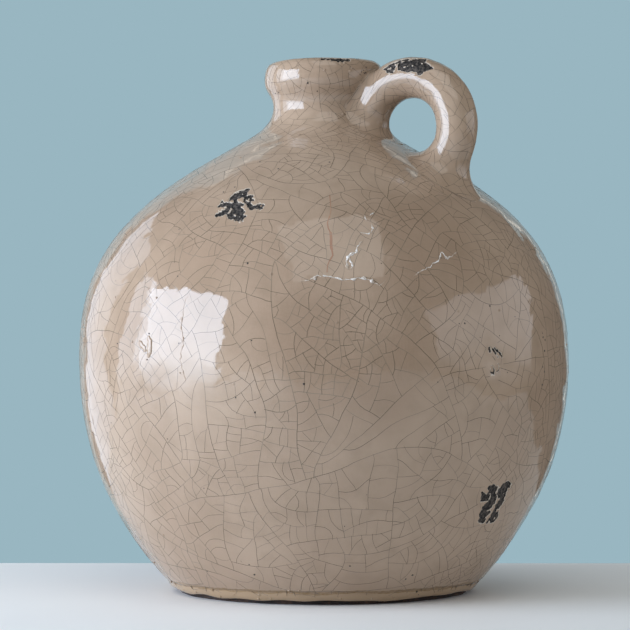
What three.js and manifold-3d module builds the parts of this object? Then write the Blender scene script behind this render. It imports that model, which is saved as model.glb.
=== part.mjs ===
// A glazed terracotta jug: thrown clay sections luted together, one coiled loop handle and a glaze coat.
// Millimetres, +Z up. The origin is on the floor under the jug's axis, and the handle stands towards +X.
import * as THREE from "three";
import { mergeVertices } from "three/addons/utils/BufferGeometryUtils.js";
import Module from "manifold-3d";

// Finished outline, measured over the glaze. Each rise is counted from the level named before it.
const FOOT_DIAMETER = 189;
const BELLY_DIAMETER = 320;
const BELLY_HEIGHT = 150;
const BELLY_FULLNESS = 80;
const SHOULDER_DIAMETER = 109;
const SHOULDER_RISE = 142;
const SHOULDER_SLOPE = 30;
const SHOULDER_FULLNESS = 72;
const NECK_DIAMETER = 65.8;
const NECK_RISE = 23.5;
const NECK_FOOT_SWEEP = 9;
const NECK_WAIST_SWEEP = 13;
const THROAT_SWEEP = 9;
const LIP_DIAMETER = 78;
const LIP_RISE = 18.5;
const RIM_RISE = 11.5;
const MOUTH_DIAMETER = 48;

// Coats and clay
const GLAZE = 0.9;
const ENGOBE = 0.3;
const WALL = 8;
const SLAB_THICKNESS = 10;
const FOOT_RING_HEIGHT = 3;
const FOOT_RING_INSET = 1.5;
const FOOT_RING_WIDTH = 17;
const FOOT_RING_EDGE = 0.8;
const GLAZE_EDGE_RISE = 0.5;
const MOUTH_GLAZE_DEPTH = 38;

// Luted joints: the upper piece laps over a tongue of the lower one, with a film of slip between
const SLIP = 0.3;
const TONGUE = 6;
const GIRTH_JOINT_RISE = 2;
const NECK_JOINT_RISE = 1;
const LIP_JOINT_DROP = 9;

// Handle: a round coil bent to an arc, with straight leads into neck and shoulder and a wad at each end
const COIL_DIAMETER = 26;
const LOOP_RADIUS = 32.7;
const LOOP_REACH = 66.3;
const LOOP_DROP = 15;
const LOOP_START = 140;
const LOOP_END = -27;
const NECK_LEAD = 24;
const SHOULDER_LEAD = 32;
const TOP_FLARE = 5;
const TOP_FLARE_LENGTH = 17;
const TOP_WAD_LENGTH = 8.5;
const ROOT_FLARE = 6;
const ROOT_FLARE_LENGTH = 17;
const ROOT_WAD_LENGTH = 8.5;

// Mesh fineness
const SIDES = 40;
const BOWL_STEPS = 8;
const DOME_STEPS = 10;
const NECK_STEPS = 6;
const THROAT_STEPS = 5;
const LIP_STEPS = 8;
const COIL_SIDES = 16;
const COIL_RINGS = 22;
const WAD_RINGS = 6;

// Levels above the floor
const SHOULDER_HEIGHT = BELLY_HEIGHT + SHOULDER_RISE;
const NECK_HEIGHT = SHOULDER_HEIGHT + NECK_RISE;
const LIP_HEIGHT = NECK_HEIGHT + LIP_RISE;
const RIM_HEIGHT = LIP_HEIGHT + RIM_RISE;
const LOOP_HEIGHT = NECK_HEIGHT - LOOP_DROP;
const GLAZE_LOW_EDGE = FOOT_RING_HEIGHT + GLAZE_EDGE_RISE;
const GIRTH_JOINT = BELLY_HEIGHT + GIRTH_JOINT_RISE;
const NECK_JOINT = SHOULDER_HEIGHT + NECK_JOINT_RISE;
const LIP_JOINT = LIP_HEIGHT - LIP_JOINT_DROP;

const point = (radius, height) => new THREE.Vector2(radius, height);
const clayDepth = GLAZE + ENGOBE;

// Stretches of the finished outline, from the foot up to the rim and down into the mouth
const bellyRadius = BELLY_DIAMETER / 2;
const belly = point(bellyRadius, BELLY_HEIGHT);
const shoulder = point(SHOULDER_DIAMETER / 2, SHOULDER_HEIGHT);
const neck = point(NECK_DIAMETER / 2, NECK_HEIGHT);
const lip = point(LIP_DIAMETER / 2, LIP_HEIGHT);
const mouthRadius = MOUTH_DIAMETER / 2;
const slope = THREE.MathUtils.degToRad(SHOULDER_SLOPE);
const upSlope = point(-Math.cos(slope), Math.sin(slope));

const footDrop = bellyRadius - FOOT_DIAMETER / 2;
const bowlRadius = (BELLY_HEIGHT ** 2 + footDrop ** 2) / (2 * footDrop);
const bowlStart = -Math.asin(BELLY_HEIGHT / bowlRadius);
const bowlCentre = bellyRadius - bowlRadius;
const lowerCurve = new THREE.ArcCurve(bowlCentre, BELLY_HEIGHT, bowlRadius, bowlStart, 0, false);
const upperCurve = new THREE.CubicBezierCurve(
  belly,
  point(bellyRadius, BELLY_HEIGHT + BELLY_FULLNESS),
  shoulder.clone().addScaledVector(upSlope, -SHOULDER_FULLNESS),
  shoulder,
);
const neckCurve = new THREE.CubicBezierCurve(
  shoulder,
  shoulder.clone().addScaledVector(upSlope, NECK_FOOT_SWEEP),
  point(neck.x, neck.y - NECK_WAIST_SWEEP),
  neck,
);
const throatCurve = new THREE.CubicBezierCurve(
  neck,
  point(neck.x, neck.y + THROAT_SWEEP),
  point(lip.x, lip.y - THROAT_SWEEP),
  lip,
);
const lipCurve = new THREE.EllipseCurve(
  (lip.x + mouthRadius) / 2,
  LIP_HEIGHT,
  (lip.x - mouthRadius) / 2,
  RIM_HEIGHT - LIP_HEIGHT,
  0,
  Math.PI,
);
const boreCurve = new THREE.LineCurve(
  point(mouthRadius, LIP_HEIGHT),
  point(mouthRadius, RIM_HEIGHT - MOUTH_GLAZE_DEPTH),
);

// Points along a stretch with their outward directions
function stretch(curve, steps, first = 1) {
  const samples = [];
  for (let i = first; i <= steps; i += 1) {
    const along = curve.getTangent(i / steps);
    samples.push({ at: curve.getPoint(i / steps), out: point(along.y, -along.x) });
  }
  return samples;
}

// The outline moved inwards by a depth
const inset = (samples, depth) => samples.map(({ at, out }) => at.clone().addScaledVector(out, -depth));

const wallSamples = [
  ...stretch(lowerCurve, BOWL_STEPS, 0),
  ...stretch(upperCurve, DOME_STEPS),
  ...stretch(neckCurve, NECK_STEPS),
  ...stretch(throatCurve, THROAT_STEPS),
];
const lipSamples = stretch(lipCurve, LIP_STEPS);
const mouthSamples = [...lipSamples, ...stretch(boreCurve, 1)];

// Radius of an outline at a height, and the part of it between two heights
function radiusAt(outline, height) {
  const i = Math.max(outline.findIndex((p) => p.y >= height), 1);
  const [low, high] = [outline[i - 1], outline[i]];
  return low.x + ((high.x - low.x) * (height - low.y)) / (high.y - low.y);
}

function between(outline, low, high) {
  const inside = outline.filter((p) => p.y > low + 0.5 && p.y < high - 0.5);
  return [point(radiusAt(outline, low), low), ...inside, point(radiusAt(outline, high), high)];
}

const clayOuter = inset(wallSamples, clayDepth);
const boreRadius = mouthRadius + clayDepth;
const clayInner = inset(wallSamples, clayDepth + WALL).map((p) => point(Math.max(p.x, boreRadius), p.y));
clayInner.push(point(boreRadius, RIM_HEIGHT));

const tongueRadius = (joint) => (radiusAt(clayOuter, joint) + radiusAt(clayInner, joint + TONGUE)) / 2;

// A turned solid from an outline that closes on itself or on the axis
function turned(outline) {
  const geometry = new THREE.LatheGeometry(outline, SIDES);
  geometry.rotateX(Math.PI / 2);
  return geometry;
}

const closed = (outline) => [...outline, outline[0].clone()];

// A thrown wall: outside up, over the tongue at its top, inside down, and round the rebate at its bottom
function thrownWall(low, high, lapped) {
  const tongue = tongueRadius(high);
  const outline = [...between(clayOuter, low, high), point(tongue, high), point(tongue, high + TONGUE)];
  const innerLow = lapped ? low + TONGUE + SLIP : low;
  outline.push(...between(clayInner, innerLow, high + TONGUE).reverse());
  if (lapped) {
    const rebate = tongueRadius(low) + SLIP;
    outline.push(point(rebate, innerLow), point(rebate, low));
  }
  return turned(closed(outline));
}

// Closed solids for cutting one piece with another
const wasm = await Module();
wasm.setup();

function solidOf(geometry) {
  geometry.deleteAttribute("normal");
  geometry.deleteAttribute("uv");
  const merged = mergeVertices(geometry, 1e-4);
  const vertProperties = new Float32Array(merged.attributes.position.array);
  const triVerts = new Uint32Array(merged.index.array);
  return new wasm.Manifold(new wasm.Mesh({ numProp: 3, vertProperties, triVerts }));
}

function geometryOf(solid) {
  const mesh = solid.getMesh();
  const geometry = new THREE.BufferGeometry();
  geometry.setAttribute("position", new THREE.BufferAttribute(new Float32Array(mesh.vertProperties), 3));
  geometry.setIndex(new THREE.BufferAttribute(new Uint32Array(mesh.triVerts), 1));
  return geometry;
}

// The jug's whole body as a filled solid, set out or in from the finished outline
function bodyForm(depth) {
  const outside = inset([...wallSamples, ...lipSamples.slice(0, LIP_STEPS / 2)], depth);
  return solidOf(turned([point(0, 0), ...outside, point(0, outside.at(-1).y)]));
}

// Handle centre line in the plane of the handle: lead from the neck, arc, lead to the shoulder
const startAngle = THREE.MathUtils.degToRad(LOOP_START);
const endAngle = THREE.MathUtils.degToRad(LOOP_END);
const arcSpan = LOOP_RADIUS * (startAngle - endAngle);
const handleSpan = NECK_LEAD + arcSpan + SHOULDER_LEAD;

function coilAt(distance) {
  const onArc = Math.min(Math.max(distance - NECK_LEAD, 0), arcSpan);
  const angle = startAngle - onArc / LOOP_RADIUS;
  const out = point(Math.cos(angle), Math.sin(angle));
  const along = point(Math.sin(angle), -Math.cos(angle));
  const centre = point(LOOP_REACH, LOOP_HEIGHT).addScaledVector(out, LOOP_RADIUS);
  centre.addScaledVector(along, distance - NECK_LEAD - onArc);
  return { centre, out };
}

// A round bar along the handle's centre line between two distances, its radius a function of the distance
function bar(from, to, rings, radiusOf) {
  const positions = [];
  const faces = [];
  for (let ring = 0; ring <= rings; ring += 1) {
    const distance = from + ((to - from) * ring) / rings;
    const { centre, out } = coilAt(distance);
    const radius = radiusOf(distance);
    for (let side = 0; side < COIL_SIDES; side += 1) {
      const turn = (2 * Math.PI * side) / COIL_SIDES;
      const rise = radius * Math.cos(turn);
      positions.push(centre.x + out.x * rise, radius * Math.sin(turn), centre.y + out.y * rise);
    }
  }
  for (let ring = 0; ring < rings; ring += 1) {
    for (let side = 0; side < COIL_SIDES; side += 1) {
      const [a, b] = [ring * COIL_SIDES + side, ring * COIL_SIDES + ((side + 1) % COIL_SIDES)];
      faces.push(a, a + COIL_SIDES, b, b, a + COIL_SIDES, b + COIL_SIDES);
    }
  }
  for (const [ring, distance] of [[0, from], [rings, to]]) {
    const { centre } = coilAt(distance);
    const hub = positions.length / 3;
    positions.push(centre.x, 0, centre.y);
    for (let side = 0; side < COIL_SIDES; side += 1) {
      const [a, b] = [ring * COIL_SIDES + side, ring * COIL_SIDES + ((side + 1) % COIL_SIDES)];
      faces.push(hub, ...(ring === 0 ? [a, b] : [b, a]));
    }
  }
  const geometry = new THREE.BufferGeometry();
  geometry.setAttribute("position", new THREE.Float32BufferAttribute(positions, 3));
  geometry.setIndex(faces);
  return solidOf(geometry);
}

// Distances along the handle where its centre line leaves the neck and enters the shoulder
function crossing(from, step) {
  const outline = inset(wallSamples, 0);
  let distance = from;
  while (coilAt(distance).centre.x < radiusAt(outline, coilAt(distance).centre.y)) {
    distance += step;
  }
  return distance;
}
const neckFace = crossing(0, 0.25);
const shoulderFace = crossing(handleSpan, -0.25);

// Finished radius of the handle: the coil, flaring smoothly into its wads at both ends
const swell = (gap, length) => Math.max(0, 1 - gap / length) ** 2;
const finishedRadius = (distance) =>
  COIL_DIAMETER / 2 +
  TOP_FLARE * swell(Math.max(distance - neckFace, 0), TOP_FLARE_LENGTH) +
  ROOT_FLARE * swell(Math.max(shoulderFace - distance, 0), ROOT_FLARE_LENGTH);

const coreRadius = COIL_DIAMETER / 2 - clayDepth;
const clayBody = bodyForm(clayDepth - SLIP);
const glazedBody = bodyForm(-SLIP);
const coilBar = bar(0, handleSpan, COIL_RINGS, () => coreRadius);
const slipBar = bar(0, handleSpan, COIL_RINGS, () => coreRadius + SLIP);
const clayHandle = bar(0, handleSpan, COIL_RINGS, (distance) => finishedRadius(distance) - clayDepth);
const glazeInside = bar(0, handleSpan, COIL_RINGS, (distance) => finishedRadius(distance) - GLAZE);
const glazeOutside = bar(0, handleSpan, COIL_RINGS, finishedRadius);
const handleSeat = bar(0, handleSpan, COIL_RINGS, (distance) => finishedRadius(distance) - clayDepth + SLIP);

// Wads end bluntly where they thin out along the coil
const topWadReach = bar(0, neckFace + TOP_WAD_LENGTH, WAD_RINGS, () => COIL_DIAMETER);
const rootWadReach = bar(shoulderFace - ROOT_WAD_LENGTH, handleSpan, WAD_RINGS, () => COIL_DIAMETER);
const wad = (reach) => geometryOf(clayHandle.intersect(reach).subtract(slipBar).subtract(clayBody));

function footRing() {
  const outer = radiusAt(clayOuter, FOOT_RING_HEIGHT) - FOOT_RING_INSET;
  const inner = outer - FOOT_RING_WIDTH;
  const edge = FOOT_RING_EDGE;
  const outline = [
    point(inner + edge, 0),
    point(outer - edge, 0),
    point(outer, edge),
    point(outer, FOOT_RING_HEIGHT),
    point(inner, FOOT_RING_HEIGHT),
    point(inner, edge),
  ];
  return turned(closed(outline));
}

function baseSlab() {
  const top = FOOT_RING_HEIGHT + SLAB_THICKNESS;
  const edge = between(clayInner, FOOT_RING_HEIGHT, top).map((p) => point(p.x - SLIP, p.y));
  return turned([point(0, FOOT_RING_HEIGHT), ...edge, point(0, top)]);
}

function lipRoll() {
  const rebate = tongueRadius(LIP_JOINT) + SLIP;
  const seat = LIP_JOINT + TONGUE + SLIP;
  const roll = inset(lipSamples, clayDepth);
  const outline = [
    ...between(clayOuter, LIP_JOINT, LIP_HEIGHT),
    ...roll,
    point(boreRadius, seat),
    point(rebate, seat),
    point(rebate, LIP_JOINT),
  ];
  return turned(closed(outline));
}

function glazeBody() {
  const outside = inset([...wallSamples, ...mouthSamples], 0);
  const inside = inset([...wallSamples, ...mouthSamples], GLAZE);
  const fromEdge = (outline) => [
    point(radiusAt(outline, GLAZE_LOW_EDGE), GLAZE_LOW_EDGE),
    ...outline.filter((p) => p.y > GLAZE_LOW_EDGE + 0.5),
  ];
  const coat = turned(closed([...fromEdge(outside), ...fromEdge(inside).reverse()]));
  return geometryOf(solidOf(coat).subtract(handleSeat));
}

const jug = new THREE.Group();
jug.name = "jug";

function add(name, geometry, color, roughness) {
  const material = new THREE.MeshStandardMaterial({ color, roughness, metalness: 0 });
  const mesh = new THREE.Mesh(geometry, material);
  mesh.name = name;
  jug.add(mesh);
}

const TERRACOTTA = "#a65f3e";
const BARE_FOOT = "#4a3a33";
const GLAZE_COLOR = "#a8947f";

add("foot_ring", footRing(), BARE_FOOT, 0.9);
add("base_slab", baseSlab(), TERRACOTTA, 0.9);
add("lower_belly", thrownWall(FOOT_RING_HEIGHT, GIRTH_JOINT, false), TERRACOTTA, 0.9);
add("upper_belly", thrownWall(GIRTH_JOINT, NECK_JOINT, true), TERRACOTTA, 0.9);
add("neck_collar", thrownWall(NECK_JOINT, LIP_JOINT, true), TERRACOTTA, 0.9);
add("lip_roll", lipRoll(), TERRACOTTA, 0.9);
add("handle_coil", geometryOf(coilBar.subtract(clayBody)), TERRACOTTA, 0.9);
add("handle_top_luting", wad(topWadReach), TERRACOTTA, 0.9);
add("handle_root_luting", wad(rootWadReach), TERRACOTTA, 0.9);
add("glaze_body", glazeBody(), GLAZE_COLOR, 0.15);
add("glaze_handle", geometryOf(glazeOutside.subtract(glazeInside).subtract(glazedBody)), GLAZE_COLOR, 0.15);

export default jug;
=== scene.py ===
import math

import bpy
import numpy as np
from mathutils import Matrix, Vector


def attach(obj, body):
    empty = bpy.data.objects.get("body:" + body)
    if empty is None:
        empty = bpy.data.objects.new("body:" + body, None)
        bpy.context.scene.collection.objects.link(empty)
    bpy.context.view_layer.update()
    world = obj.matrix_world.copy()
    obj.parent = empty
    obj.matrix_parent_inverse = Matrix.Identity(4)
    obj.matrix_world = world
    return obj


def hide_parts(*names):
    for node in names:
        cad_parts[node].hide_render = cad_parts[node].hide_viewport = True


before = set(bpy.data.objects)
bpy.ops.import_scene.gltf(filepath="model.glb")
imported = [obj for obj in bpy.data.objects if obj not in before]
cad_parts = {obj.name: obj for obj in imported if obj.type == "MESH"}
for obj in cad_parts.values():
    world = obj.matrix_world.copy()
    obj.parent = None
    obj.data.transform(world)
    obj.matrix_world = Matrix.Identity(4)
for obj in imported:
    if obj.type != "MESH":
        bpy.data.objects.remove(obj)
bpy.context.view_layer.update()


# Foot ring: a low ring of bare clay turned under the base, wiped dark with engobe. It carries the jug and
# shows as a dark line at the floor, slightly uneven where the turning tool and the glaze sponge left it.
MM = 0.001
FOOT_OUTER, FOOT_INNER, FOOT_HEIGHT, FOOT_EDGE = 94.2, 77.3, 3.0, 0.9
FOOT_WANDER = 0.3


def unit(vectors):
    """Vectors brought to a length of 1."""
    return vectors / np.linalg.norm(vectors, axis=-1, keepdims=True)


def waves(points, length, seed, count=20):
    """Smooth unevenness of mean square 1: a sum of plane waves of about this length in random directions."""
    random = np.random.default_rng(seed)
    direction = unit(random.normal(size=(count, 3)))
    number = 2 * np.pi / (length * random.uniform(0.7, 1.4, count))
    phase = random.uniform(0, 2 * np.pi, count)
    return np.cos(points @ (direction * number[:, None]).T + phase).sum(-1) / math.sqrt(count / 2)


def mesh_piece(name, points, faces, corner_uv, smooth=True):
    """A piece from points in mm, its faces, and the UV at each corner of each face."""
    mesh = bpy.data.meshes.new(name)
    mesh.from_pydata((points * MM).tolist(), [], faces)
    mesh.uv_layers.new(name="OFBake").uv.foreach_set("vector", corner_uv.astype(np.float32).ravel())
    mesh.polygons.foreach_set("use_smooth", np.full(len(mesh.polygons), smooth))
    piece = bpy.data.objects.new(name, mesh)
    bpy.context.scene.collection.objects.link(piece)
    return piece


def grid_piece(name, grids, closed_rows=True):
    """One mesh from grids of points in mm, rows by columns, whose columns close into rings. Their rows close too, or
    end in caps. The UV map runs once round the ring in U and once along the rows in V."""
    faces, uv, ends, first = [], [], [], 0
    for points in grids:
        rows, columns = points.shape[:2]
        steps = rows if closed_rows else rows - 1
        row = np.arange(steps)[:, None, None] + np.array([0, 0, 1, 1])
        column = np.arange(columns)[None, :, None] + np.array([0, 1, 1, 0])
        row, column = np.broadcast_arrays(row, column)
        faces += (first + (row % rows) * columns + column % columns).reshape(-1, 4).tolist()
        uv.append(np.stack([column / columns, row / steps], -1).reshape(-1, 2))
        if not closed_rows:
            ring = first + np.arange(columns)
            ends += [ring[::-1].tolist(), (ring + steps * columns).tolist()]
        first += rows * columns
    uv.append(np.full((sum(map(len, ends)), 2), 0.5))
    return mesh_piece(name, np.vstack([points.reshape(-1, 3) for points in grids]), faces + ends, np.vstack(uv))


def linear(colour):
    """An sRGB hex colour as linear RGBA."""
    share = np.array([int(colour[i : i + 2], 16) for i in (1, 3, 5)]) / 255
    share = np.where(share <= 0.04045, share / 12.92, ((share + 0.055) / 1.055) ** 2.4)
    return (*share.tolist(), 1.0)


def plug(owner, made, inputs):
    """Links each input of a node that is given a socket, and sets any other."""
    for name, value in inputs.items():
        if isinstance(value, bpy.types.NodeSocket):
            owner.node_tree.links.new(value, made.inputs[name])
        else:
            made.inputs[name].default_value = value


def node(owner, kind, inputs, out=0, **settings):
    """Adds a node with its settings and inputs, and gives one of its outputs."""
    made = owner.node_tree.nodes.new("ShaderNode" + kind)
    for name, value in settings.items():
        setattr(made, name, value)
    plug(owner, made, inputs)
    return made.outputs[out]


def new_material(name):
    """A material with nodes, and its Principled shader."""
    material = bpy.data.materials.new(name)
    material.use_nodes = True
    return material, material.node_tree.nodes["Principled BSDF"]


def dress(piece, material):
    """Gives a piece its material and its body."""
    piece.data.materials.append(material)
    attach(piece, "root")


def foot_ring_points(columns=240):
    """The ring's section, a low box with rounded edges, carried round the axis. Its outside wanders in and out."""
    corner = np.linspace(0, np.pi / 2, 5)
    low_out = [(FOOT_OUTER - FOOT_EDGE * (1 - np.sin(a)), FOOT_EDGE * (1 - np.cos(a))) for a in corner]
    low_in = [(FOOT_INNER + FOOT_EDGE * (1 - np.cos(a)), FOOT_EDGE * (1 - np.sin(a))) for a in corner]
    section = np.array([*low_out, (FOOT_OUTER, FOOT_HEIGHT), (FOOT_INNER, FOOT_HEIGHT), *low_in])
    angle = np.linspace(0, 2 * np.pi, columns, endpoint=False)
    radius, height = section[:, :1], np.repeat(section[:, 1:], columns, axis=1)
    points = np.stack([radius * np.cos(angle), radius * np.sin(angle), height], -1)
    outside = (radius > FOOT_OUTER - 2 * FOOT_EDGE) * FOOT_WANDER * waves(points, 14, 3)
    points[..., :2] *= (1 + outside / radius)[..., None]
    return points


# Bare earthenware wiped with engobe: nearly black brown, dead matt, with sandy grit showing through.
bare_clay, shader = new_material("engobe_wiped_earthenware")
place = node(bare_clay, "TexCoord", {}, "Object")
grit = node(bare_clay, "TexNoise", {"Vector": place, "Scale": 1 / (1.5 * MM), "Detail": 4.0})
wiped = node(bare_clay, "TexNoise", {"Vector": place, "Scale": 1 / (18 * MM), "Detail": 3.0})
both = node(bare_clay, "Math", {0: grit, 1: wiped}, operation="MULTIPLY")
share = node(bare_clay, "MapRange", {"Value": both, "From Min": 0.2, "From Max": 0.42})
tone = node(bare_clay, "Mix", {0: share, 6: linear("#2a2422"), 7: linear("#5a4336")}, 2, data_type="RGBA")
rough = node(bare_clay, "MapRange", {"Value": grit, "To Min": 0.75, "To Max": 0.95})
bump = node(bare_clay, "Bump", {"Height": grit, "Strength": 0.5, "Distance": 0.3 * MM})
plug(bare_clay, shader, {"Base Color": tone, "Roughness": rough, "Normal": bump})

foot_ring = grid_piece("foot_ring_bare", [foot_ring_points()])
dress(foot_ring, bare_clay)
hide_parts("foot_ring")


# Base slab, thrown walls, lip roll and handle core: the red clay body, thrown and rolled in sections and luted
# together. The glaze hides it outside; it shows bare down the mouth and under the base, so the solids stay.
# Fired terracotta: orange brown and matt, with fine temper grains and faint rings left by the potter's fingers.
terracotta, shader = new_material("fired_terracotta")
place = node(terracotta, "TexCoord", {}, "Object")
grain = node(terracotta, "TexNoise", {"Vector": place, "Scale": 1 / (0.9 * MM), "Detail": 5.0})
cloud = node(terracotta, "TexNoise", {"Vector": place, "Scale": 1 / (35 * MM), "Detail": 3.0})
ring_wave = {"Vector": place, "Scale": 0.314 / (4 * MM), "Distortion": 2.0, "Detail": 2.0, "Detail Scale": 0.6}
rings = node(terracotta, "TexWave", ring_wave, "Fac", bands_direction="Z")
tone = node(terracotta, "Mix", {0: cloud, 6: linear("#8f4f33"), 7: linear("#b9704b")}, 2, data_type="RGBA")
flecks = node(terracotta, "MapRange", {"Value": grain, "From Min": 0.6, "From Max": 0.75, "To Max": 0.5})
tone = node(terracotta, "Mix", {0: flecks, 6: tone, 7: linear("#6a3826")}, 2, data_type="RGBA")
rough = node(terracotta, "MapRange", {"Value": grain, "To Min": 0.8, "To Max": 0.97})
height = node(terracotta, "Math", {0: rings, 1: 2.0, 2: grain}, operation="MULTIPLY_ADD")
bump = node(terracotta, "Bump", {"Height": height, "Strength": 0.4, "Distance": 0.25 * MM})
plug(terracotta, shader, {"Base Color": tone, "Roughness": rough, "Normal": bump})

CLAY_NODES = ("base_slab", "lower_belly", "upper_belly", "neck_collar", "lip_roll")
CLAY_NODES += ("handle_coil", "handle_top_luting", "handle_root_luting")
for name in CLAY_NODES:
    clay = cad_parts[name]
    clay.data.materials.clear()
    clay.data.materials.append(terracotta)


# Glaze on the body: one thick glossy coat over belly, neck and lip and down into the mouth, poured and fired over
# dark engobe. It is wavy, rolls up in a bead at its low edge, and has flaked off in a few chips.
GLAZE = 0.9
GLAZE_EDGE = 3.5
UNBROKEN = -3.0
CHIP_DEPTH, BURR = 0.75, 0.08
BELLY_RADIUS, BELLY_HEIGHT, FOOT_RADIUS = 160.0, 150.0, 94.5
SHOULDER, NECK, LIP = (54.5, 292.0), (32.9, 315.5), (39.0, 334.0)
SHOULDER_SLOPE = math.radians(30)
BELLY_SWEEP, SHOULDER_SWEEP, NECK_FOOT_SWEEP, NECK_WAIST_SWEEP, THROAT_SWEEP = 80, 72, 9, 13, 9
LIP_SQUARENESS = 0.8
MOUTH_RADIUS, RIM_HEIGHT, MOUTH_DEPTH = 24.0, 345.5, 38.0


def bezier(start, lead, trail, end, count=200):
    """Points of a cubic curve from start to end, pulled towards lead and trail."""
    t = np.linspace(0, 1, count)[:, None]
    pulls = 3 * (1 - t) ** 2 * t * np.array(lead) + 3 * (1 - t) * t**2 * np.array(trail)
    return (1 - t) ** 3 * np.array(start) + pulls + t**3 * np.array(end)


def jug_outline():
    """Radius and height along the finished outside, with the arc length: a circle's arc for the bowl, cubic curves
    for dome, neck and throat, half an ellipse over the lip, squarer outside, and a line down the mouth."""
    drop = BELLY_RADIUS - FOOT_RADIUS
    bowl_radius = (BELLY_HEIGHT**2 + drop**2) / (2 * drop)
    turn = np.linspace(-math.asin((BELLY_HEIGHT - GLAZE_EDGE) / bowl_radius), 0, 300)
    bowl = np.stack([BELLY_RADIUS + bowl_radius * (np.cos(turn) - 1), BELLY_HEIGHT + bowl_radius * np.sin(turn)], -1)
    up_slope = np.array([-math.cos(SHOULDER_SLOPE), math.sin(SHOULDER_SLOPE)])
    girth = (BELLY_RADIUS, BELLY_HEIGHT + BELLY_SWEEP)
    dome = bezier(bowl[-1], girth, SHOULDER - SHOULDER_SWEEP * up_slope, SHOULDER, 400)
    neck = bezier(SHOULDER, SHOULDER + NECK_FOOT_SWEEP * up_slope, (NECK[0], NECK[1] - NECK_WAIST_SWEEP), NECK)
    throat = bezier(NECK, (NECK[0], NECK[1] + THROAT_SWEEP), (LIP[0], LIP[1] - THROAT_SWEEP), LIP)
    over = np.linspace(0, np.pi, 200)[:, None]
    middle, half = (LIP[0] + MOUTH_RADIUS) / 2, (LIP[0] - MOUTH_RADIUS) / 2
    square = np.where(over < np.pi / 2, LIP_SQUARENESS, 1.0)
    across = np.sign(np.cos(over)) * np.abs(np.cos(over)) ** square
    lip = np.hstack([middle + half * across, LIP[1] + (RIM_HEIGHT - LIP[1]) * np.sin(over) ** square])
    bore = np.linspace(lip[-1], (MOUTH_RADIUS, RIM_HEIGHT - MOUTH_DEPTH), 60)
    points = np.vstack([bowl, dome[1:], neck[1:], throat[1:], lip[1:], bore[1:]])
    along = np.append(0, np.cumsum(np.linalg.norm(np.diff(points, axis=0), axis=1)))
    even = np.linspace(0, along[-1], 2400)
    return even, np.interp(even, along, points[:, 0]), np.interp(even, along, points[:, 1])


ALONG, RADIUS, HEIGHT = jug_outline()
SLOPE_R, SLOPE_Z = np.gradient(RADIUS, ALONG), np.gradient(HEIGHT, ALONG)

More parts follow.
